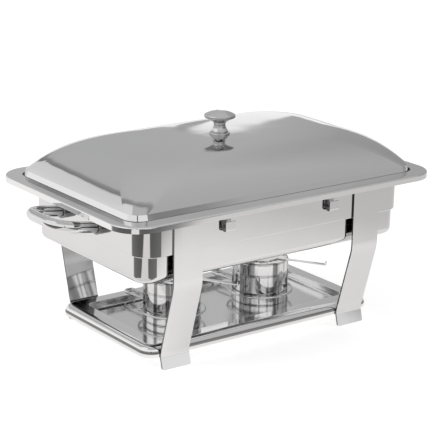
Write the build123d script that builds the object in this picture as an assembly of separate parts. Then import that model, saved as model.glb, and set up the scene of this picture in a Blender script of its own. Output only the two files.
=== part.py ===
# Chafing dish food warmer: lift-off domed lid, full-size food pan, wide-rimmed water pan, strap-leg
# stand with a fuel shelf, and two fuel holders with swivelling dampers.
# Millimetres. +X runs along the length (a loop handle at each end), -Y is the front, +Z is up.
# The origin is on the table plane, at the centre of the footprint.
from build123d import *
import math
import os

# ---- sheet gauges -------------------------------------------------------------------------------
pan_t = 1.2            # water pan sheet
food_t = 1.0           # food pan sheet
lid_t = 1.2            # lid sheet
band_t = 1.5           # stand band sheet
shelf_t = 1.5          # fuel shelf sheet
cup_t = 1.2            # fuel holder sheet
leg_t = 3.0            # strap legs
hook_t = 2.0           # strap of the lid hooks

# ---- clearances ---------------------------------------------------------------------------------
pan_play = 1.5         # water pan body inside the band's turned-in edge, per side
lid_play = 1.2         # lid skirt inside the rim recess, per side
can_play = 1.5         # fuel can inside its holder, per side
pivot_play = 0.10      # damper eye around its rivet, radial
face_gap = 0.3         # sliding faces that pass over each other

# ---- food pan (full-size gastronorm) -------------------------------------------------------------
food_l = 530.0
food_w = 325.0
food_r = 20.0          # flange corner
food_flange = 12.0     # flange width to the pan wall
food_depth = 65.0
food_body_r = 42.0
food_taper = 4.0       # degrees of draft
food_step = 10.0       # depth of the stacking shoulder
food_step_in = 2.5
food_bottom_r = 12.0

# ---- water pan -----------------------------------------------------------------------------------
rim_r = 49.0
rim_z = 261.0          # top of the rim
rim_edge_r = 2.5       # outer edge
lip_h = 10.0           # turned-down outer edge
rim_flat_l = 26.0      # width of the polished flat at each end
rim_flat_w = 28.0      # and along each side
recess_depth = 5.0
recess_gap_l = 19.0    # recess floor left free around the food pan's flange, at each end
recess_gap_w = 8.5     # and along each side
seat_lap_l = 7.0       # how far the food pan's flange laps the seat, at each end
seat_lap_w = 4.5       # and along each side
body_r = 27.0
body_depth = 109.0     # rim top to the underside
body_bottom_r = 12.0

# ---- lid -----------------------------------------------------------------------------------------
skirt_h = 14.0         # lid's low wall: upright inside the recess, then leaning in a little
skirt_lean = 2.4       # how far it leans in above the rim
dome_rise = 55.6
dome_power = 7.2       # how steeply the dome leaves the skirt before it flattens
dome_crown = 0.05      # share of the rise kept for the gentle crown
dome_end_share = 0.82  # below 1, the ends slope further in than the sides
dome_hip_r = 83.0      # plan corners near the top: the skirt's corners open out into soft hips
lid_r = 27.0           # corners of the skirt, rounder than the recess they stand in
lid_bead = 3.0         # height of the rolled bottom edge
lid_bead_out = 0.3

# ---- knob ----------------------------------------------------------------------------------------
knob_d = 52.0
knob_h = 36.0
knob_base_d = 28.0
knob_neck_d = 19.0
knob_plate_t = 3.0
knob_screw_d = 6.0
knob_head_d = 12.0
knob_head_h = 3.5
knob_washer_d = 24.0
knob_washer_t = 1.5
knob_thread = 16.0     # screw length inside the knob

# ---- stand ---------------------------------------------------------------------------------------
edge_in_l = 1.0        # how far the band's bottom edge turns in, at each end
edge_in_w = 4.0        # and along each side
band_r = 34.0
band_h = 58.0
leg_w = 54.0
leg_inset = 79.0       # leg centre in from the water pan's end wall
leg_top_gap = 2.0      # below the water pan's lip
leg_bend_z = 143.0     # where the leg starts to lean in
leg_bend_r = 70.0
leg_in = 33.5          # how far the leg leans in above its foot
foot_z = 27.0          # top of the short upright part that carries the shelf
foot_flat = 7.0
foot_out = 5.5         # foot kick, outwards
foot_r = 9.0
foot_corner = 3.0

# ---- fuel shelf ----------------------------------------------------------------------------------
shelf_over = 50.0      # shelf beyond the leg centre at each end
shelf_r = 24.0
shelf_h = 18.0
shelf_edge_r = 13.0
shelf_border = 33.0    # raised border around the sunk floor
shelf_sink = 14.0
shelf_floor_r = 4.0

# ---- loop handles --------------------------------------------------------------------------------
handle_d = 18.0
handle_half = 52.0     # half the distance between the feet
handle_out = 78.0      # bar centre out from the band
handle_tilt = 13.0     # bar centre above the feet: the loop leans up
handle_bend = 34.0
handle_rise = 33.0     # below the band's top edge
ferrule_l = 12.0
ferrule_d = 24.0
ferrule_neck_d = 20.0

# ---- lid hooks -----------------------------------------------------------------------------------
hook_from_leg = 75.0   # hook centre to leg centre
hook_w = 19.0
hook_h = 20.0
hook_gap = 5.5
hook_lip = 15.0
hook_drop = 15.0       # below the band's top edge

# ---- fuel holders --------------------------------------------------------------------------------
cup_d = 96.0
cup_h = 51.0
cup_x = 92.0
cup_bottom_r = 3.0
can_h = 44.0
can_neck_d = 60.0
can_neck_h = 3.0
gel_sink = 5.0
cover_h = 22.0
cover_hole_d = 54.0
cover_lap = 5.0        # how far the cover's spigot drops into the holder
cover_edge_r = 3.0
damper_d = 62.0
damper_t = 1.5
damper_eye_d = 12.0
damper_arm_w = 8.0
damper_arm_l = 118.0   # from the disc centre to the tip
damper_tab_h = 6.0
damper_turn = -58.0    # direction of the arm, degrees from +X
damper_base = 20.0     # turn of the whole damper about the holder
pivot_d = 5.0
pivot_head_d = 9.0
pivot_head_h = 2.0
ring_wire_d = 4.0
ring_z = 16.5          # ring above the shelf floor
ring_off = 5.0         # ring stands this far off the holder, on short spokes
ring_arm_l = 62.0
ring_arm_half = 9.0
ring_bend = 7.0
ring_turn = 95.0       # direction of the wire handle, degrees from +X


def slab(l, w, r, z0, z1):
    return extrude(Pos(0, 0, z0) * RectangleRounded(l, w, r), z1 - z0)


def top_edges(s):
    return s.edges().group_by(Axis.Z)[-1]


def low_edges(s):
    return s.edges().group_by(Axis.Z)[0]


def drum(d, z0, z1, x=0.0, y=0.0):
    return Pos(x, y, (z0 + z1) / 2) * Cylinder(d / 2, z1 - z0)


out = {}

# ---- water pan -----------------------------------------------------------------------------------
recess_l = food_l + 2 * recess_gap_l       # the standard food pan sets every width from here on
recess_w = food_w + 2 * recess_gap_w
recess_r = rim_r - rim_flat_l
rim_l = recess_l + 2 * rim_flat_l
rim_w = recess_w + 2 * rim_flat_w
body_l = food_l - 2 * seat_lap_l
body_w = food_w - 2 * seat_lap_w
seat_z = rim_z - recess_depth              # recess floor: carries the food pan and the lid
recess_under = seat_z - pan_t
body_z = rim_z - body_depth

rim = fillet(top_edges(slab(rim_l, rim_w, rim_r, rim_z - lip_h, rim_z)), rim_edge_r)
rim_in = slab(rim_l - 2 * pan_t, rim_w - 2 * pan_t, rim_r - pan_t, rim_z - lip_h, rim_z - pan_t)
rim_in = fillet(top_edges(rim_in), rim_edge_r - pan_t)
well = fillet(low_edges(slab(body_l, body_w, body_r, body_z, seat_z)), body_bottom_r)
well_in = slab(body_l - 2 * pan_t, body_w - 2 * pan_t, body_r - pan_t, body_z + pan_t, seat_z)
well_in = fillet(low_edges(well_in), body_bottom_r - pan_t)
step = slab(recess_l + 2 * pan_t, recess_w + 2 * pan_t, recess_r + pan_t, seat_z, rim_z - pan_t)
out["water_pan_rim"] = (rim - rim_in) + step - slab(recess_l, recess_w, recess_r, seat_z, rim_z)
seat = slab(recess_l + 2 * pan_t, recess_w + 2 * pan_t, recess_r + pan_t, recess_under, seat_z)
out["water_pan"] = seat + well - well_in

# ---- food pan ------------------------------------------------------------------------------------
food_top = seat_z + food_t
food_bl = food_l - 2 * food_flange
food_bw = food_w - 2 * food_flange


def food_block(grow, z_top, step, depth, bottom_r):
    shoulder = slab(food_bl + 2 * grow, food_bw + 2 * grow, food_body_r + grow, z_top - step, z_top)
    low = RectangleRounded(food_bl - 2 * food_step_in + 2 * grow, food_bw - 2 * food_step_in + 2 * grow,
                           food_body_r - food_step_in + grow)
    tub = extrude(Pos(0, 0, z_top) * low, -depth, taper=food_taper)
    return shoulder + fillet(low_edges(tub), bottom_r)


tub = food_block(0, food_top, food_step, food_depth, food_bottom_r)
out["food_pan_flange"] = slab(food_l, food_w, food_r, seat_z, food_top) - tub
out["food_pan"] = tub - food_block(-food_t, food_top, food_step - food_t, food_depth - food_t,
                                   food_bottom_r - food_t)

# ---- lid: low wall, then a hipped dome with a gently crowned top ------------------------------
lid_l = recess_l - 2 * lid_play - 2 * lid_bead_out
lid_w = recess_w - 2 * lid_play - 2 * lid_bead_out
dome_z = seat_z + skirt_h
skirt_taper = math.degrees(math.atan2(skirt_lean, dome_z - rim_z))
dome_sections = 13
crown_share = 0.06     # the last section, a small flat hidden by the knob's seat plate


def dome_height(u):
    """Height share of the section whose width is the share u of the lid's."""
    return (1 - dome_crown) * (1 - u ** dome_power) + dome_crown * (1 - u ** 1.5)


def dome_levels():
    """Width share and height share of each section, evenly spaced along the dome's own curve."""
    curve = [(1 - k / 1000, dome_height(1 - k / 1000)) for k in range(1000)]
    curve = [p for p in curve if p[0] >= crown_share]
    run = [0.0]
    for (u0, h0), (u1, h1) in zip(curve, curve[1:]):
        run.append(run[-1] + math.hypot((u1 - u0) * (lid_l + lid_w) / 4, (h1 - h0) * dome_rise))
    return [curve[sum(r < run[-1] * k / dome_sections for r in run[:-1])] for k in range(dome_sections + 1)]


def lid_block(inset, z0):
    l, w, r = lid_l - 2 * inset, lid_w - 2 * inset, lid_r - inset
    wall = slab(l, w, r, z0, rim_z) + extrude(Pos(0, 0, rim_z) * RectangleRounded(l, w, r),
                                              dome_z - rim_z, taper=skirt_taper)
    l, w, r = l - 2 * skirt_lean, w - 2 * skirt_lean, r - skirt_lean
    sections = []
    for u, h in dome_levels():
        corner = min(r + (dome_hip_r - r) * h ** 0.95, w * u * 0.47)
        sections.append(Pos(0, 0, dome_z + (dome_rise - inset) * h)
                        * RectangleRounded(l * u ** dome_end_share, w * u, corner))
    return wall + loft(sections)


lid = lid_block(0, seat_z)
bead = slab(lid_l + 2 * lid_bead_out, lid_w + 2 * lid_bead_out, lid_r + lid_bead_out,
            seat_z, seat_z + lid_bead)
lid = lid + bead - lid_block(lid_t, seat_z)
crown = dome_levels()[-1][1]
lid_top = dome_z + dome_rise * crown                   # small flat under the knob
lid_under = dome_z + (dome_rise - lid_t) * crown
lid -= drum(knob_screw_d + 0.4, lid_under - 5, lid_top + 5)
out["lid_dome"] = lid

# ---- knob, its seat plate, and the screw and washer under the lid ----------------------------------
plate_z = lid_top + knob_plate_t
plate = drum(knob_base_d + 6, lid_top, plate_z)
out["knob_seat_plate"] = (fillet(top_edges(plate), knob_plate_t * 0.6)
                          - drum(knob_screw_d + 0.4, lid_top, plate_z))
kr, kb, kn = knob_d / 2, knob_base_d / 2, knob_neck_d / 2
cap_z = plate_z + knob_h * 0.76
with BuildSketch(Plane.XZ) as knob_half:
    with BuildLine():
        Polyline((0, plate_z), (kb, plate_z), (kb, plate_z + 2.5))
        Spline((kb, plate_z + 2.5), (kn, plate_z + knob_h * 0.36), (kr - 1, cap_z - 2.5),
               tangents=((-0.75, 1), (1.0, 0.45)))
        ThreePointArc((kr - 1, cap_z - 2.5), (kr, cap_z), (kr - 1.2, cap_z + 2.4))
        Spline((kr - 1.2, cap_z + 2.4), (0, plate_z + knob_h), tangents=((-1, 0.55), (-1, 0)))
        Line((0, plate_z + knob_h), (0, plate_z))
    make_face()
out["lid_knob"] = revolve(knob_half.sketch, Axis.Z) - drum(knob_screw_d, plate_z, plate_z + knob_thread)
washer_z = lid_under - knob_washer_t
head_z = washer_z - knob_head_h
out["knob_washer"] = (drum(knob_washer_d, washer_z, lid_under)
                      - drum(knob_screw_d + 0.4, washer_z, lid_under))
head = fillet(low_edges(drum(knob_head_d, head_z, washer_z)), knob_head_h * 0.5)
slot = Pos(0, 0, head_z) * Box(knob_head_d + 1, 1.4, 2.4)
out["knob_screw"] = head - slot + drum(knob_screw_d, washer_z, plate_z + knob_thread)

# ---- stand band: carries the recess of the water pan on its top edge ------------------------------
band_l = body_l + 2 * (pan_play + edge_in_l + band_t)
band_w = body_w + 2 * (pan_play + edge_in_w + band_t)
band_top = recess_under
band_z = band_top - band_h
band_in_l, band_in_w = band_l - 2 * band_t, band_w - 2 * band_t
band = slab(band_l, band_w, band_r, band_z, band_top)
band = fillet(low_edges(band), band_t)
band -= slab(band_in_l, band_in_w, band_r - band_t, band_z + band_t, band_top)
band -= slab(body_l + 2 * pan_play, body_w + 2 * pan_play, body_r + pan_play, band_z, band_top)
out["stand_band"] = band

# ---- strap legs: upright on the band, a long lean inwards, then a short outward foot ---------------
leg_x = body_l / 2 - leg_inset
leg_out = band_w / 2 + leg_t               # outer face of the upright part
leg_mid = leg_out - leg_t / 2
leg_top = rim_z - lip_h - leg_top_gap
foot_low = foot_z - foot_flat
foot_y = leg_mid - leg_in
foot_run = foot_out / foot_low
strap_path = FilletPolyline(
    (leg_x, -leg_mid, leg_top), (leg_x, -leg_mid, leg_bend_z), (leg_x, -foot_y, foot_z),
    (leg_x, -foot_y, foot_low), (leg_x, -foot_y - foot_run * (foot_low + leg_t), -leg_t),
    radius=(leg_bend_r, foot_r, foot_r))
leg = sweep(Pos(leg_x, -leg_mid, leg_top) * Rectangle(leg_w, leg_t), strap_path)
leg &= Pos(leg_x, -leg_mid, leg_top / 2) * Box(leg_w * 2, leg_out, leg_top)
leg = fillet(leg.edges().group_by(Axis.Z)[0].filter_by(lambda e: abs(e.tangent_at(0).X) < 0.5), foot_corner)
out["leg_front_right"] = leg
out["leg_front_left"] = mirror(leg, Plane.YZ)
out["leg_back_right"] = mirror(leg, Plane.XZ)
out["leg_back_left"] = mirror(out["leg_front_left"], Plane.XZ)

# ---- fuel shelf: a raised border around a sunk floor, its edge welded to the legs ------------------
shelf_l = 2 * (leg_x + shelf_over)
shelf_w = 2 * (foot_y - leg_t / 2)
shelf_z = foot_low
shelf_top = shelf_z + shelf_h
floor_z = shelf_top - shelf_sink
pocket_l, pocket_w = shelf_l - 2 * shelf_border, shelf_w - 2 * shelf_border
pocket_r = max(shelf_r - shelf_border * 0.4, 8.0)
border = fillet(top_edges(slab(shelf_l, shelf_w, shelf_r, shelf_z, shelf_top)), shelf_edge_r)
under = slab(shelf_l - 2 * shelf_t, shelf_w - 2 * shelf_t, shelf_r - shelf_t, shelf_z, shelf_top - shelf_t)
under = fillet(top_edges(under), shelf_edge_r - shelf_t)
tray = slab(pocket_l + 2 * shelf_t, pocket_w + 2 * shelf_t, pocket_r + shelf_t,
            floor_z - shelf_t, shelf_top)
out["shelf_border"] = border - under - tray
tray -= fillet(low_edges(slab(pocket_l, pocket_w, pocket_r, floor_z, shelf_top)), shelf_floor_r)
tray_lip = tray.faces().sort_by(Axis.Z)[-1].inner_wires()[0].edges()
out["fuel_shelf"] = fillet(tray_lip, shelf_t * 0.9)

# ---- loop handles at both ends, each foot in a tapered ferrule -------------------------------------
handle_z = band_top - handle_rise
wall_x = band_l / 2
lean = -math.degrees(math.atan2(handle_tilt, handle_out))
reach = math.hypot(handle_out, handle_tilt)
run_in = handle_d                          # bars start inside the wall and are cut flush with it
loop_at = Pos(wall_x, 0, handle_z) * Rot(0, lean, 0)
outside = Pos(wall_x + 100, 0, handle_z) * Box(200, 4 * handle_half, 100)
loop_path = FilletPolyline((-run_in, -handle_half, 0), (reach, -handle_half, 0),
                           (reach, handle_half, 0), (-run_in, handle_half, 0), radius=handle_bend)
loop = sweep(Plane((-run_in, -handle_half, 0), z_dir=(1, 0, 0)) * Circle(handle_d / 2), loop_path)
loop = (loop_at * loop) & outside
cone = loft([Circle(ferrule_neck_d / 2), Pos(0, 0, ferrule_l) * Circle(ferrule_d / 2)])
cone = fillet(cone.edges().group_by(Axis.Z)[-1], 2.0) + Pos(0, 0, -2) * Cylinder(ferrule_neck_d / 2, 4)
cone -= Cylinder(handle_d / 2, 4 * ferrule_l)
foot_at = [Plane((0, y, 0), z_dir=(1, 0, 0)) for y in (-handle_half, handle_half)]
ferrules = Compound([(loop_at * (p * cone)) & outside for p in foot_at])
out["handle_right"] = loop
out["handle_left"] = mirror(loop, Plane.YZ)
out["handle_ferrules_right"] = ferrules
out["handle_ferrules_left"] = mirror(ferrules, Plane.YZ)

# ---- lid hooks: strap bent into a J, two on each long side -----------------------------------------
hook_x = leg_x - hook_from_leg
hook_top = band_top - hook_drop
hook_y = band_w / 2 + hook_t / 2
hook_low = hook_top - hook_h + hook_t / 2
hook_front = hook_y + hook_gap + hook_t
hook_path = FilletPolyline(
    (hook_x, -hook_y, hook_top), (hook_x, -hook_y, hook_low), (hook_x, -hook_front, hook_low),
    (hook_x, -hook_front, hook_low + hook_lip), radius=hook_t)
hook = sweep(Pos(hook_x, -hook_y, hook_top) * Rectangle(hook_w, hook_t), hook_path)
front_hooks = Compound([hook, mirror(hook, Plane.YZ)])
out["lid_hooks_front"] = front_hooks
out["lid_hooks_back"] = mirror(front_hooks, Plane.XZ)

# ---- fuel holders ----------------------------------------------------------------------------------
cup_r = cup_d / 2
cup_in = cup_r - cup_t
cup_top = floor_z + cup_h
can_d = 2 * (cup_in - can_play)
can_z = floor_z + cup_t
cover_top = cup_top + cover_h
damper_z = cover_top + face_gap
pivot_at = cover_hole_d / 2 + (cup_r - cover_hole_d / 2) * 0.55
ring_r = cup_r + ring_wire_d / 2 + ring_off


def holder():
    parts = {}
    cup = fillet(low_edges(drum(cup_d, floor_z, cup_top)), cup_bottom_r)
    parts["fuel_cup"] = cup - fillet(low_edges(drum(2 * cup_in, can_z, cup_top)), cup_bottom_r - cup_t)
    can = drum(can_d, can_z, can_z + can_h - can_neck_h) + drum(can_neck_d + 6, can_z, can_z + can_h)
    can = fillet(low_edges(can), cup_bottom_r)
    inside = drum(can_neck_d, can_z + 1.0, can_z + can_h)
    parts["fuel_can"] = can - inside
    parts["fuel_gel"] = drum(can_neck_d, can_z + 1.0, can_z + can_h - gel_sink)
    cover = fillet(top_edges(drum(cup_d, cup_top, cover_top)), cover_edge_r)
    cover -= fillet(top_edges(drum(2 * cup_in, cup_top, cover_top - cup_t)), cover_edge_r - cup_t)
    spigot = drum(2 * cup_in - 0.1, cup_top - cover_lap, cup_top + 1.0)
    cover += drum(2 * cup_in, cup_top, cup_top + 1.0) + spigot
    cover -= drum(2 * cup_in - 1.9, cup_top - cover_lap, cup_top + 1.0)
    cover -= drum(cover_hole_d, cup_top, cover_top)
    cover -= drum(pivot_d, cup_top, cover_top, -pivot_at)
    parts["fuel_cover"] = cover
    rivet = drum(pivot_d, cover_top - cup_t, damper_z + damper_t + face_gap, -pivot_at)
    rivet += drum(pivot_head_d, cover_top - cup_t - pivot_head_h, cover_top - cup_t, -pivot_at)
    top = drum(pivot_head_d, 0, pivot_head_h)
    top = Pos(-pivot_at, 0, damper_z + damper_t + face_gap) * fillet(top_edges(top), pivot_head_h * 0.6)
    parts["damper_rivet"] = rivet + top
    flat = Circle(damper_d / 2) + Pos(-pivot_at, 0) * Circle(damper_eye_d / 2)
    flat += Pos(-(pivot_at + damper_d / 2 - 8) / 2, 0) * Rectangle(pivot_at - damper_d / 2 + 8, damper_eye_d)
    turn = damper_turn - damper_base
    flat += Rot(0, 0, turn) * Pos(damper_arm_l / 2, 0) * Rectangle(damper_arm_l, damper_arm_w)
    flat -= Pos(-pivot_at, 0) * Circle(pivot_d / 2 + pivot_play)
    damper = extrude(Pos(0, 0, damper_z) * flat, damper_t)
    tab = Pos(damper_arm_l - damper_t / 2, 0, damper_z + damper_tab_h / 2)
    damper += Rot(0, 0, turn) * (tab * Box(damper_t, damper_arm_w, damper_tab_h))
    parts["damper"] = damper
    return {k: Rot(0, 0, damper_base) * v for k, v in parts.items()}


def wire_ring():
    z = floor_z + ring_z
    ring = Pos(0, 0, z) * Torus(ring_r, ring_wire_d / 2)
    near = (ring_r ** 2 - ring_arm_half ** 2) ** 0.5
    far = ring_r + ring_arm_l
    arm_path = FilletPolyline((near, -ring_arm_half, z), (far, -ring_arm_half, z),
                              (far, ring_arm_half, z), (near, ring_arm_half, z), radius=ring_bend)
    arm = sweep(Plane((near, -ring_arm_half, z), z_dir=(1, 0, 0)) * Circle(ring_wire_d / 2), arm_path)
    spoke = Plane((cup_r + 0.05, 0, z), z_dir=(1, 0, 0)) * Cylinder(
        ring_wire_d / 2, ring_r - cup_r, align=(Align.CENTER, Align.CENTER, Align.MIN))
    for turn in (60, 180, 300):
        ring += Rot(0, 0, turn) * spoke
    return Rot(0, 0, ring_turn) * (ring + arm)


pieces = holder()
pieces["cup_ring"] = wire_ring()
for side, x in (("left", -cup_x), ("right", cup_x)):
    for name, piece in pieces.items():
        out[f"{name}_{side}"] = Pos(x, 0, 0) * piece

os.makedirs("parts", exist_ok=True)
for name, shape in out.items():
    export_step(shape, f"parts/{name}.step")
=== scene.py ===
# %% [markdown]
# # A chafing dish in polished steel
# A chafing dish keeps food warm on a buffet table. Nearly every piece of it is bright stainless sheet,
# so what the eye reads as its colour is mostly the room that it mirrors. The work of this lesson is
# therefore half modelling and half staging: clean, smooth sheets, and a calm room for them to reflect.
# The imported model is loaded first. It fixes every size and place, and everything below hangs on it.

# %% Load the imported model, with helpers for boxes and parents
import bpy, bmesh, math
from mathutils import Vector, Matrix


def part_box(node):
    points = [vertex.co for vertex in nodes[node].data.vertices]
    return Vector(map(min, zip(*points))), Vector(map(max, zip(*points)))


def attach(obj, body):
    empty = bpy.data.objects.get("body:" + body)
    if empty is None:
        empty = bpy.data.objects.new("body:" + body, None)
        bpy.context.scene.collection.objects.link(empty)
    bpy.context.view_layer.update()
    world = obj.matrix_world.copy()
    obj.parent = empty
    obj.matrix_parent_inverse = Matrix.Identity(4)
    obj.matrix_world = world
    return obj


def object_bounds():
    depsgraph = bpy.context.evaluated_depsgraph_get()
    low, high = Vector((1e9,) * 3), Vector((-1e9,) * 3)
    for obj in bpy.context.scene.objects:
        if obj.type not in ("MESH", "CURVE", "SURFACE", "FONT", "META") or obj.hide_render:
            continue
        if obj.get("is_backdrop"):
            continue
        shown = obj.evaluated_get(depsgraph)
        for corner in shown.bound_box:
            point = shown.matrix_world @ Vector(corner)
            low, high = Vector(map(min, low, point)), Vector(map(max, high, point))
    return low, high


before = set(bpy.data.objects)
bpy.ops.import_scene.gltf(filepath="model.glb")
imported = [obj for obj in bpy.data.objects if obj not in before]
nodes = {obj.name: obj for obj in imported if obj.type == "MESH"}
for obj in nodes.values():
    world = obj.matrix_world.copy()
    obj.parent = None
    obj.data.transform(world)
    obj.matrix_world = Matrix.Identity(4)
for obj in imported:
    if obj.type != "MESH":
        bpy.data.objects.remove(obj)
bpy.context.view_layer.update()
sides = ("left", "right")

# %% [markdown]
# ## A few words for shader nodes
# A material is a small network of nodes. The same few kinds come back in every finish, so each gets a
# helper that makes the node, fills its inputs and returns its output. An input takes a plain number or
# the output of another node. With these, a finish reads almost like a sentence.

# %% Helpers that do sums
def fill(nt, socket, value):
    if isinstance(value, bpy.types.NodeSocket):
        nt.links.new(value, socket)
    else:
        socket.default_value = value


def maths(nt, operation, *values):
    node = nt.nodes.new("ShaderNodeMath")
    node.operation = operation
    for socket, value in zip(node.inputs, values):
        fill(nt, socket, value)
    return node.outputs["Value"]


def vector_maths(nt, operation, *values, result="Vector"):
    node = nt.nodes.new("ShaderNodeVectorMath")
    node.operation = operation
    for socket, value in zip(node.inputs, values):
        fill(nt, socket, value)
    return node.outputs[result]


def spread(nt, value, start, end, low=0.0, high=1.0):
    """Stretch a value: start becomes low, end becomes high, and beyond them it stays there."""
    node = nt.nodes.new("ShaderNodeMapRange")
    inputs = {"Value": value, "From Min": start, "From Max": end, "To Min": low, "To Max": high}
    for name, given in inputs.items():
        fill(nt, node.inputs[name], given)
    return node.outputs["Result"]


print("helpers for sums: maths, vector_maths, spread")

# %% [markdown]
# The second handful makes patterns. They are laid in Object coordinates, metres on the piece itself, so
# a stain or a polishing line stays where it is when the piece moves.

# %% Helpers that make patterns
def on_piece(nt):
    """The place of each point on its own piece, in metres."""
    return nt.nodes.new("ShaderNodeTexCoord").outputs["Object"]


def apart(nt, vector):
    """The X, Y and Z of a vector, by name."""
    node = nt.nodes.new("ShaderNodeSeparateXYZ")
    nt.links.new(vector, node.inputs["Vector"])
    return node.outputs


def stretched(nt, vector, scale):
    node = nt.nodes.new("ShaderNodeMapping")
    node.inputs["Scale"].default_value = scale
    nt.links.new(vector, node.inputs["Vector"])
    return node.outputs["Vector"]


def noise(nt, vector, scale, detail=2.0):
    node = nt.nodes.new("ShaderNodeTexNoise")
    node.inputs["Scale"].default_value = scale
    node.inputs["Detail"].default_value = detail
    nt.links.new(vector, node.inputs["Vector"])
    return node.outputs["Fac"]


def blend(nt, kind, first, second, amount=1.0):
    """Two colours mixed; kind is MIX, MULTIPLY or LIGHTEN."""
    node = nt.nodes.new("ShaderNodeMix")
    node.data_type = "RGBA"
    node.blend_type = kind
    fill(nt, node.inputs[0], amount)
    fill(nt, node.inputs[6], first)
    fill(nt, node.inputs[7], second)
    return node.outputs[2]


def bumps(nt, height, distance, strength=1.0, over=None):
    """Small relief of a given depth in metres, laid over another relief if one is given."""
    node = nt.nodes.new("ShaderNodeBump")
    node.inputs["Distance"].default_value = distance
    node.inputs["Strength"].default_value = strength
    nt.links.new(height, node.inputs["Height"])
    if over:
        nt.links.new(over, node.inputs["Normal"])
    return node.outputs["Normal"]


def shaded(name):
    """A new material, its node tree and its surface shader."""
    mat = bpy.data.materials.new(name)
    mat.use_nodes = True
    return mat, mat.node_tree, mat.node_tree.nodes["Principled BSDF"]


print("helpers for patterns: on_piece, apart, stretched, noise, blend, bumps, shaded")

# %% [markdown]
# ## Painted shade and reflections on bright steel
# A tight curve or a narrow face of polished steel mirrors only a thin slice of the room, and what stands
# there can turn it dark. A card for each such slice would spoil the others. So the darkest places are
# painted into the material's colour instead, by the way a face looks or by its place on the piece: painted
# shade on faces that look down, and painted dark reflections on strap edges, folds, round walls and
# handle feet. Under another light they stay dark where clean steel would not. Each mark is a
# level from 0, black, to 1, clean, so that several can simply be multiplied.

# %% Painted shade and reflections that follow the way a face looks
def painted_underside_shade(nt, facing, left, flames):
    """Painted shade: faces that look down keep this much of their tone; with flames, only in a patch over
    each burner.
    """
    level = spread(nt, facing["Z"], start=-0.9, end=-0.25, low=left)
    if flames:
        patch_inner, patch_outer = 0.05, 0.12      # radii of the painted shade patch over each burner, fading outwards
        both_ends = vector_maths(nt, "ABSOLUTE", on_piece(nt))
        from_burner = vector_maths(nt, "MULTIPLY_ADD", both_ends, (1, 1, 0), (-flames, 0, 0))
        reach = vector_maths(nt, "LENGTH", from_burner, result="Value")
        level = maths(nt, "MAXIMUM", level, spread(nt, reach, patch_inner, patch_outer, low=left))
    return level


def painted_edge_reflection(nt, facing, left):
    """Painted dark reflection on the faces that look along X, which are the narrow edges of the straps."""
    along_x = maths(nt, "ABSOLUTE", facing["X"])
    return spread(nt, along_x, start=0.7, end=0.95, low=1.0, high=left)


def painted_fold_reflection(nt, facing, flattest, steepest, left):
    """Painted dark reflection in a band where the sheet turns over, given by how far its faces look up."""
    middle, half, soft = (flattest + steepest) / 2, (steepest - flattest) / 2, 0.05
    off = maths(nt, "ABSOLUTE", maths(nt, "SUBTRACT", facing["Z"], middle))
    return spread(nt, off, half - soft, half + soft, low=left)


print("marks by direction: smoked, sheared, folded")

# %% Painted reflections that follow a place on the piece
def painted_streak_reflections(nt, left):
    """Painted dark reflections in upright streaks of uneven width, as a round polished wall mirrors them."""
    around, upwards = 85, 3                        # fine round the cup, long up its wall
    upright = stretched(nt, on_piece(nt), (around, around, upwards))
    return spread(nt, noise(nt, upright, scale=1.0), start=0.40, end=0.52, low=left)


def painted_reflection_by_band(nt, start, end, left):
    """Painted dark reflection beside the weld at start, clean from end on; both are distances from the
    middle of the dish.
    """
    outwards = maths(nt, "ABSOLUTE", apart(nt, on_piece(nt))["X"])
    return spread(nt, outwards, start, end, low=left)


print("marks by place: painted_streak_reflections, painted_reflection_by_band")

# %% [markdown]
# ## Polished stainless sheet
# Mirror-polished steel is never a perfect mirror. Pressing leaves the sheet very slightly wavy, the
# polishing wheel leaves hair-fine lines, and washing dulls it in soft patches. One recipe with a few
# strengths covers every sheet here: a slow noise for the waves, a stretched noise for the wheel lines,
# and a third for the dulled patches.

# %% The steel recipe
def steel(name, tone, polish=0.05, dull=0.06, line_axis="X", underside_darkening=1.0, edge_darkening=1.0, streak_darkening=1.0,
          band_darkening=None, flames=None, fold_darkening=None):
    mat, nt, metal = shaded(name)
    place = on_piece(nt)
    facing = apart(nt, nt.nodes.new("ShaderNodeNewGeometry").outputs["Normal"])
    patches = noise(nt, place, scale=9.0, detail=4.0)

    # painted shade and painted dark reflections, multiplied together into the base colour below
    marks = maths(nt, "MULTIPLY", painted_underside_shade(nt, facing, underside_darkening, flames), painted_edge_reflection(nt, facing, edge_darkening))
    if fold_darkening:
        marks = maths(nt, "MULTIPLY", marks, painted_fold_reflection(nt, facing, *fold_darkening))
    if streak_darkening < 1:
        marks = maths(nt, "MULTIPLY", marks, painted_streak_reflections(nt, streak_darkening))
    if band_darkening:
        marks = maths(nt, "MULTIPLY", marks, painted_reflection_by_band(nt, *band_darkening))
    fresh, washed = (tone, tone, tone + 0.006, 1), (tone - 0.03, tone - 0.032, tone - 0.03, 1)
    colour = blend(nt, "MIX", fresh, washed, amount=patches)
    nt.links.new(blend(nt, "MULTIPLY", colour, marks), metal.inputs["Base Color"])

    along_line, across_line = 6, 420               # wheel lines are 70 times longer than wide
    line_scale = [along_line if axis == line_axis else across_line for axis in "XYZ"]
    wheel = noise(nt, stretched(nt, place, line_scale), scale=1.0, detail=3.0)
    wheel_share, patch_share = 0.35, 0.65
    worn = maths(nt, "MULTIPLY_ADD", wheel, wheel_share, maths(nt, "MULTIPLY", patches, patch_share))
    roughness = spread(nt, worn, start=0.35, end=0.75, low=polish, high=polish + dull)
    nt.links.new(roughness, metal.inputs["Roughness"])

    waves = bumps(nt, noise(nt, place, scale=14.0, detail=1.0), distance=0.0006, strength=0.5)
    lines = bumps(nt, wheel, distance=0.00002, strength=0.04, over=waves)
    nt.links.new(lines, metal.inputs["Normal"])
    metal.inputs["Metallic"].default_value = 1.0
    return mat


print("steel recipe ready")

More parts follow.
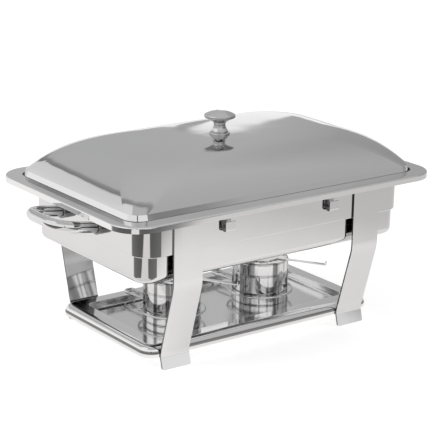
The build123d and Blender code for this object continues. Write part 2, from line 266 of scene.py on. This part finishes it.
# %% Put a finish on pieces
def dress(mat, *names):
    for name in names:
        mesh = nodes[name].data
        mesh.materials.clear()
        mesh.materials.append(mat)
    print(mat.name, "on", ", ".join(names))


print("dress puts one finish on any number of pieces")

# %% [markdown]
# ## Dressing the lid and the pans
# The lid gets the plain recipe. Its knob is turned, so it is a little brighter; its narrow neck gets a
# painted dark reflection band and its faces that look down get painted shade. The food pan is hidden under
# the lid. Such pans are satin, because cooks scour them. The water pan sits over the flames, and painted
# shade lies on its faces that look down, in two round patches over the burners. The rim gets painted shade
# on its faces that look down.

# %% Lid, knob and pans
dress(steel("lid mirror steel", 0.80), "lid_dome")
# painted shade on the knob's down-facing faces and a painted dark reflection band on its neck
dress(steel("knob mirror steel", 0.82, polish=0.03, underside_darkening=0.5, fold_darkening=(-0.3, 0.45, 0.5)),
      "lid_knob", "knob_seat_plate")
dress(steel("screw steel", 0.62, polish=0.2, dull=0.12), "knob_screw", "knob_washer")
dress(steel("food pan steel", 0.72, polish=0.16, dull=0.1),
      *[n for n in nodes if n.startswith("food_pan")])
cup_low, cup_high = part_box("fuel_cup_right")
burner_x = (cup_low[0] + cup_high[0]) / 2
# painted shade on down-facing faces over each burner
dress(steel("water pan steel", 0.80, underside_darkening=0.4, flames=burner_x), "water_pan")
# painted shade on the rim's down-facing faces
dress(steel("rim steel", 0.92, underside_darkening=0.3), "water_pan_rim")

# %% [markdown]
# ## Dressing the stand
# The band, legs and hooks are strap and sheet, sheared to size. Polishing rounds their edges by a hair,
# and that hair catches a thin line of light, so a small bevel runs on them. The narrow edges of the legs and
# hooks get a painted dark reflection. The loop handles are bars with a weld at each foot; next to the band
# they get a painted dark reflection. The raised border of the shelf turns over in one long shoulder, which
# gets a painted dark reflection band too.

# %% Band, legs, shelf, handles and hooks
def ease(width, *names):
    for name in names:
        soft = nodes[name].modifiers.new("eased edges", "BEVEL")
        soft.width = width
        soft.segments = 2
        soft.limit_method = "ANGLE"
        soft.angle_limit = math.radians(50)
        soft.harden_normals = True
    print("edges eased by", width * 1000, "mm on", ", ".join(names))


legs = [f"leg_{end}_{side}" for end in ("front", "back") for side in sides]
hooks = ["lid_hooks_front", "lid_hooks_back"]
ferrules = [f"handle_ferrules_{side}" for side in sides]
handles = [f"handle_{side}" for side in sides] + ferrules
band_end_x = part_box("stand_band")[1][0]
handle_darkening_ends = (band_end_x + 0.006, band_end_x + 0.042)
dress(steel("band steel", 0.80), "stand_band")
# painted dark reflection on the legs' narrow edges
dress(steel("leg steel", 0.80, line_axis="Z", edge_darkening=0.22), *legs)
dress(steel("shelf steel", 0.88, polish=0.1, dull=0.08), "fuel_shelf")
# painted dark reflection band on the border's shoulder
dress(steel("shelf border steel", 0.92, dull=0.08, fold_darkening=(0.06, 0.38, 0.25)), "shelf_border")
# painted dark reflection on the handles next to the band
dress(steel("handle steel", 0.82, polish=0.03, band_darkening=(*handle_darkening_ends, 0.22)), *handles)
# painted dark reflection on the hooks' narrow edges
dress(steel("hook steel", 0.78, polish=0.06, edge_darkening=0.35), *hooks)
ease(0.0003, *legs, *hooks)
ease(0.0002, *ferrules)

# %% [markdown]
# ## Dressing the fuel holders
# Each holder is a cup with a cover, a tin of fuel inside, a damper on a rivet and a wire ring to carry
# it by. Cup and cover carry painted dark reflections in upright streaks. The tin is plain tinplate, duller
# than the rest.

# %% Cups, covers, dampers, rings and cans
# painted dark reflections in upright streaks on cups and covers
holder_steel = steel("holder steel", 0.82, polish=0.04, streak_darkening=0.3)
dress(holder_steel, *[f"{part}_{side}" for part in ("fuel_cup", "fuel_cover") for side in sides])
dampers = [f"damper_{side}" for side in sides]
dress(steel("damper steel", 0.78, polish=0.06), *dampers, *[f"damper_rivet_{side}" for side in sides])
dress(steel("wire steel", 0.76, polish=0.08), *[f"cup_ring_{side}" for side in sides])
dress(steel("can tinplate", 0.74, polish=0.18, dull=0.12), *[f"fuel_can_{side}" for side in sides])
ease(0.0002, *dampers)

# %% [markdown]
# ## Rolled beads on the fuel holders
# A pressed cup and its cover end in small rolled beads, which stiffen the thin sheet and take a finger.
# A ring could be added as a torus, but spinning a small circle shows how a bead is really formed, by
# rolling the edge round. Each one stands just proud of the wall and rides with its holder.

# %% A bead as a spun circle
def built(name, bm):
    """Turn a finished bmesh into an object of the scene."""
    mesh = bpy.data.meshes.new(name)
    bm.to_mesh(mesh)
    bm.free()
    piece = bpy.data.objects.new(name, mesh)
    bpy.context.scene.collection.objects.link(piece)
    return piece


def turn(bm, angle, axis):
    bmesh.ops.rotate(bm, verts=bm.verts, cent=(0, 0, 0), matrix=Matrix.Rotation(angle, 3, axis))


def bead(name, body, centre, radius, height, tube):
    bm = bmesh.new()
    bmesh.ops.create_circle(bm, cap_ends=False, segments=12, radius=tube)
    turn(bm, math.radians(90), "X")
    bmesh.ops.translate(bm, verts=bm.verts, vec=(radius, 0, 0))
    bmesh.ops.spin(bm, geom=bm.verts[:] + bm.edges[:], cent=(0, 0, 0), axis=(0, 0, 1), angle=math.tau,
                   steps=96, use_merge=True)
    bmesh.ops.recalc_face_normals(bm, faces=bm.faces)
    bmesh.ops.translate(bm, verts=bm.verts, vec=(centre[0], centre[1], height))
    for face in bm.faces:
        face.smooth = True
    piece = built(name, bm)
    piece.data.materials.append(holder_steel)
    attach(piece, body)


print("a bead is a circle of 12 sides spun in 96 steps")

# %% Four beads on each holder
for side in sides:
    low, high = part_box("fuel_cup_" + side)
    cover_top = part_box("fuel_cover_" + side)[1][2]
    middle = ((low[0] + high[0]) / 2, (low[1] + high[1]) / 2)
    wall = (high[0] - low[0]) / 2
    for name, inset, height, tube in (
            ("cup_mouth_bead", 0.0003, high[2] - 0.0011, 0.0010),
            ("cover_edge_bead", 0.0002, high[2] + 0.0013, 0.0011),
            ("cup_foot_bead", 0.0006, low[2] + 0.0013, 0.0012),
            ("cover_top_bead", 0.0012, cover_top - 0.0014, 0.0013)):
        bead(f"{name}_{side}", "fuel_holder_" + side, middle, wall - inset, height, tube)
    print("four beads on the", side, "holder, radius", round(wall, 4), "m")

# %% [markdown]
# ## The fuel
# Chafing fuel is a tinted, slightly cloudy gel. It glows a little from inside, so it gets some
# subsurface scattering and a soft, wet surface, with a slow noise for its uneven set.

# %% The fuel gel
def gel():
    mat, nt, jelly = shaded("fuel gel")
    cloud = noise(nt, on_piece(nt), scale=60.0)
    tint = blend(nt, "MIX", (0.62, 0.26, 0.33, 1), (0.50, 0.18, 0.25, 1), amount=cloud)
    nt.links.new(tint, jelly.inputs["Base Color"])
    nt.links.new(spread(nt, cloud, 0.0, 1.0, low=0.18, high=0.34), jelly.inputs["Roughness"])
    nt.links.new(bumps(nt, cloud, distance=0.0006), jelly.inputs["Normal"])
    jelly.inputs["Subsurface Weight"].default_value = 0.4
    jelly.inputs["Subsurface Scale"].default_value = 0.01
    return mat


dress(gel(), "fuel_gel_left", "fuel_gel_right")

# %% [markdown]
# ## The room
# Chrome is lit by what stands around it. A product studio hangs a cloth tent round the table, with pale
# panels where light comes through, and leaves a dark corner beside the camera. The steel gets its calm
# mid grey dome from the tent's roof, its pale walls from the panels, and its few black accents from the
# seams and the corner. Tent and corner are staged things that only the reflections see. Their
# tones are grey levels that change along a direction, so a ramp of levels is the first helper.

# %% Grey levels along a direction
def along(nt, towards):
    """How far a point lies in a direction, in metres."""
    return vector_maths(nt, "DOT_PRODUCT", on_piece(nt), Vector(towards).normalized(), result="Value")


def levels(nt, value, stops):
    """Grey levels by a value: stops are (value, level)."""
    low, high = stops[0][0], stops[-1][0]
    ramp = nt.nodes.new("ShaderNodeValToRGB")
    nt.links.new(spread(nt, value, low, high), ramp.inputs["Fac"])
    marks = ramp.color_ramp.elements
    marks[0].color = (stops[0][1],) * 3 + (1,)
    marks[1].color = (stops[-1][1],) * 3 + (1,)
    for place, level in stops[1:-1]:
        marks.new((place - low) / (high - low)).color = (level, level, level, 1)
    return ramp.outputs["Color"]


def fade(nt, towards, stops):
    return levels(nt, along(nt, towards), stops)


def spot(nt, centre, half, inner, outer):
    """Levels by distance from a centre, where 1 is an ellipsoid with these half widths."""
    off = vector_maths(nt, "MULTIPLY_ADD", on_piece(nt), [1 / h for h in half],
                       [-c / h for c, h in zip(centre, half)])
    far = vector_maths(nt, "LENGTH", off, result="Value")
    return spread(nt, far, inner[0], outer[0], inner[1], outer[1])


print("levels: along, levels, fade, spot")

# %% [markdown]
# The dark corner is one upright card. It glows very faintly instead of being lit, so that its tone is
# the same whatever the lamps do.

# %% The dark corner
def glowing(name, pattern):
    """A material that shows a pattern as light; pattern takes the node tree and returns a colour."""
    mat, nt, surface = shaded(name)
    nt.nodes.remove(surface)
    lit = nt.nodes.new("ShaderNodeEmission")
    nt.links.new(pattern(nt), lit.inputs["Color"])
    nt.links.new(lit.outputs["Emission"], nt.nodes["Material Output"].inputs["Surface"])
    return mat


def upright_card(name, low, high):
    low, high = Vector(low), Vector(high)
    span = high - low
    bm = bmesh.new()
    bmesh.ops.create_grid(bm, x_segments=1, y_segments=1, size=0.5)
    turn(bm, math.radians(90), "X")
    bmesh.ops.scale(bm, verts=bm.verts, vec=(math.hypot(span.x, span.y), 1, span.z))
    turn(bm, math.atan2(span.y, span.x), "Z")
    bmesh.ops.translate(bm, verts=bm.verts, vec=(low + high) / 2)
    return built(name, bm)


corner = upright_card("dark corner", (-1.95, -2.17, 0.0), (-1.71, -2.34, 1.15))
corner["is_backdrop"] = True
corner.data.materials.append(glowing("dark corner", lambda nt: fade(
    nt, (0, 0, 1), ((0.0, 0.02), (0.9, 0.05), (1.15, 0.1)))))
print("dark corner", [round(v, 2) for v in corner.dimensions], "m")

# %% [markdown]
# ## The tent
# The tent is a large dome turned to face the camera, so in its own axes x is to the right of the
# camera, y away from it and z up. Where each panel hangs comes from following lines of sight to the
# steel and on into the room. The tones are layers: each one multiplies what lies under it, like a seam
# that shades the cloth, or lightens it, like a panel that lets light in.

# %% The tent's panels and seams
seam = (-0.3875, -0.914, -0.1186)
top_edge, far_edge = (-0.447, 0.112, -0.8875), (-0.674, -0.231, -0.703)
seam_shade = ((-0.5, 1), (-0.3, 0.6), (-0.08, 0.45), (0, 1))


def inside_wall(nt):
    """How far a point lies inside both edges of the left wall."""
    return maths(nt, "MINIMUM", along(nt, top_edge), along(nt, far_edge))


def left_wall(nt):
    brighter_down = fade(nt, (-0.6, 0, -0.8), ((-0.5, 0.68), (1.5, 0.76), (3, 1)))
    return blend(nt, "MULTIPLY", levels(nt, inside_wall(nt), ((-0.07, 0), (0, 1))), brighter_down)


def left_box(nt):
    past_seam = fade(nt, seam, ((-0.08, 0), (0.02, 0.8), (2, 0.9)))
    not_near = fade(nt, (0, 1, 0), ((-4, 0), (-2.8, 1)))
    far_left = fade(nt, (1, 0, 0), ((-2.4, 1), (-1.8, 0)))
    return blend(nt, "MULTIPLY", blend(nt, "MULTIPLY", past_seam, not_near), far_left)


def behind_camera(nt):
    below_roof = fade(nt, (0, 0, 1), ((3.9, 0.9), (4.7, 0)))
    near_side = fade(nt, (0, 1, 0), ((-3, 1), (-2.3, 0)))
    return blend(nt, "MULTIPLY", below_roof, near_side)


print("panels: left_wall, left_box, behind_camera")

# %% The tent's tones, layer by layer
def tent_tones(nt):
    endless = 100                              # half width of a panel that runs right across the tent
    right_shade = fade(nt, (0.754, 0.633, 0.174), ((4.1, 1.0), (4.65, 0.8), (5.4, 0.76), (6, 0.7)))
    roof_panel = spot(nt, (0.03, 0, 0), (0.5, endless, 1.5), (0.94, 1), (1.02, 0))
    far_panel = spot(nt, (0, 6, 0), (2.2, endless, 0.6), (0.9, 1), (1.1, 0))
    low_right_panel = spot(nt, (6, -3.6, -0.3), (endless, 2.4, 1.25), (0.9, 0.9), (1.05, 0))
    far_gap = spot(nt, (-0.2, 6, 0.85), (0.1, endless, 0.45), (0.8, 0.42), (1.1, 1))
    tone = fade(nt, (0, 0, 1), ((0, 0.45), (2.5, 0.48), (4.5, 0.52), (6, 0.54)))
    for kind, layer in (
            ("MULTIPLY", right_shade),
            ("MULTIPLY", fade(nt, seam, seam_shade)),
            ("MULTIPLY", levels(nt, inside_wall(nt), seam_shade)),
            ("LIGHTEN", left_wall(nt)),
            ("LIGHTEN", left_box(nt)),
            ("LIGHTEN", behind_camera(nt)),
            ("LIGHTEN", roof_panel),
            ("LIGHTEN", far_panel),
            ("LIGHTEN", low_right_panel),
            ("MULTIPLY", far_gap)):
        tone = blend(nt, kind, tone, layer)
    return tone


print("tent tones: a grey cloth, three shades, six panels and one gap")

# %% The tent itself
azimuth = math.radians(-36.6)              # where the camera stands, round from the front
tent_radius, tent_lift, tent_foot = 6.0, 0.3, -0.3
bm = bmesh.new()
bmesh.ops.create_uvsphere(bm, u_segments=96, v_segments=48, radius=tent_radius)
bmesh.ops.delete(bm, geom=[v for v in bm.verts if v.co.z < tent_foot], context="VERTS")
tent = built("tent", bm)
tent.rotation_euler.z = azimuth
tent.location.z = tent_lift
tent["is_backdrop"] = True
# the tent glows with these tones; nothing lights it
tent.data.materials.append(glowing("tent", tent_tones))
for unseen in (tent, corner):
    unseen.visible_camera = False
    unseen.visible_diffuse = False
    unseen.visible_shadow = False
print("tent radius", tent_radius, "m, faces", len(tent.data.polygons))

# %% [markdown]
# ## The floor
# The dish stands on a white sheet laid over a dark floor. The sheet's edge is what draws the crisp
# boundary low on the polished legs. The sheet's uneven light is painted into its colour and glow, which
# grow duller to the right. The camera itself sees plain white, so that the ground stays clean but keeps the
# soft shadow.

# %% A white sheet on a dark floor, as the steel sees it
nearer, rightwards = (-0.75, -0.66, 0), (0.803, -0.596, 0)


def floor_pattern(nt):
    sheet_edge = fade(nt, nearer, ((-3, 1.0), (0.33, 1.0), (0.41, 0.2), (0.9, 0.12), (2.5, 0.12)))
    # painted falloff of light, duller towards the right
    painted_light_falloff = fade(nt, rightwards, ((-2, 0.82), (-0.45, 0.84), (0.05, 0.97), (0.3, 0.95), (0.55, 0.86),
                                   (0.87, 0.6), (2.0, 0.5)))
    pale_strip = fade(nt, rightwards, ((-2, 0), (-0.42, 0), (-0.38, 0.72), (-0.02, 0.72), (0.03, 0), (2, 0)))
    return blend(nt, "LIGHTEN", blend(nt, "MULTIPLY", sheet_edge, painted_light_falloff), pale_strip)


bm = bmesh.new()
bmesh.ops.create_grid(bm, x_segments=1, y_segments=1, size=14.0)
floor = built("floor", bm)
floor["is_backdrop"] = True
paper, nt, surface = shaded("white floor")
surface.inputs["Roughness"].default_value = 0.9
surface.inputs["Specular IOR Level"].default_value = 0.0
surface.inputs["Emission Strength"].default_value = 1.0
pattern = floor_pattern(nt)
to_camera = nt.nodes.new("ShaderNodeLightPath").outputs["Is Camera Ray"]
for socket, for_mirrors, for_camera in (("Base Color", 0.8, 0.8), ("Emission Color", 0.5, 0.62)):
    dim = nt.nodes.new("ShaderNodeRGB").outputs[0]
    dim.default_value = (for_mirrors, for_mirrors * 0.985, for_mirrors * 0.975, 1)
    mirrored = blend(nt, "MULTIPLY", pattern, dim)
    white = (for_camera, for_camera, for_camera, 1)
    nt.links.new(blend(nt, "MIX", mirrored, white, amount=to_camera), surface.inputs[socket])
floor.data.materials.append(paper)
print("floor", floor.dimensions.x, "m across")

# %% [markdown]
# ## The horizon
# Where the tent doesn't reach, the world is white to the camera and to the steel, but only half as
# bright where it lights the matte things, so that the floor keeps its shadow.

# %% The white horizon
world = bpy.data.worlds.new("studio")
bpy.context.scene.world = world
world.use_nodes = True
nt = world.node_tree
rays = nt.nodes.new("ShaderNodeLightPath").outputs
seen_or_mirrored = maths(nt, "MAXIMUM", rays["Is Camera Ray"], rays["Is Glossy Ray"])
direct = maths(nt, "MAXIMUM", seen_or_mirrored, rays["Is Transmission Ray"])
lighting, white = (0.5, 0.5, 0.5, 1), (1, 1, 1, 1)
nt.links.new(blend(nt, "MIX", lighting, white, amount=direct), nt.nodes["Background"].inputs["Color"])
print("world white to the camera, half as bright as a light")

# %% [markdown]
# ## Lamps
# Two big soft lamps stand in for the softboxes of a product studio. The steel doesn't mirror them, only
# the tent, so the lamps just fill the matte things and the floor.

# %% Lamps
def softbox(name, place, power):
    width, height, aim = 1.6, 1.2, Vector((0, 0, 0.2))
    lamp = bpy.data.lights.new(name, "AREA")
    lamp.shape = "RECTANGLE"
    lamp.size = width
    lamp.size_y = height
    lamp.energy = power
    obj = bpy.data.objects.new(name, lamp)
    obj.location = place
    obj.rotation_euler = (aim - Vector(place)).to_track_quat("-Z", "Y").to_euler()
    obj.visible_glossy = False
    bpy.context.scene.collection.objects.link(obj)
    print(name, power, "W")


softbox("key softbox", (-2.2, 0.6, 2.4), 26)
softbox("fill softbox", (2.0, -1.6, 2.2), 8)

# %% [markdown]
# ## Camera
# The camera stands almost three metres off with a long lens, a little above the lid, and looks at the
# front left corner. It is aimed at the middle of the dish first. The aim then moves a few centimetres up
# in the camera's own directions, which centres the dish in the frame.

# %% Camera
elevation, roll = math.radians(17.4), math.radians(1.0)
subject, distance = Vector((0, 0, 0.150)), 2.849
aim_above, aim_left = 0.0341, 0.0044
back = Vector((math.sin(azimuth) * math.cos(elevation), -math.cos(azimuth) * math.cos(elevation),
               math.sin(elevation)))
stand_at = subject + back * distance


def aim_axes(towards):
    """The camera's right, up and backward directions when it looks at a point."""
    ahead = (towards - stand_at).normalized()
    right = ahead.cross(Vector((0, 0, 1))).normalized()
    up = right.cross(ahead)
    rolled_right = right * math.cos(roll) + up * math.sin(roll)
    rolled_up = up * math.cos(roll) - right * math.sin(roll)
    return rolled_right, rolled_up, -ahead


right, up, _ = aim_axes(subject)
right, up, behind = aim_axes(subject + up * aim_above - right * aim_left)
lens = bpy.data.cameras.new("camera")
lens.lens = 142.7
lens.sensor_width = 36.0
camera = bpy.data.objects.new("camera", lens)
camera.matrix_world = Matrix((right, up, behind)).transposed().to_4x4()
camera.location = stand_at
bpy.context.scene.collection.objects.link(camera)
bpy.context.scene.camera = camera
bpy.context.scene.view_settings.view_transform = "Standard"
print("camera", round(distance, 2), "m from the dish, lens", round(lens.lens, 1), "mm")

# %% [markdown]
# ## The visual box
# The box of everything that shows is printed. The beads and bevels add nothing to the outside, so it
# should be the same as the imported model's box.

# %% Print the visual box
low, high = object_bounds()
print("visual box:", [round(v, 4) for v in high - low])
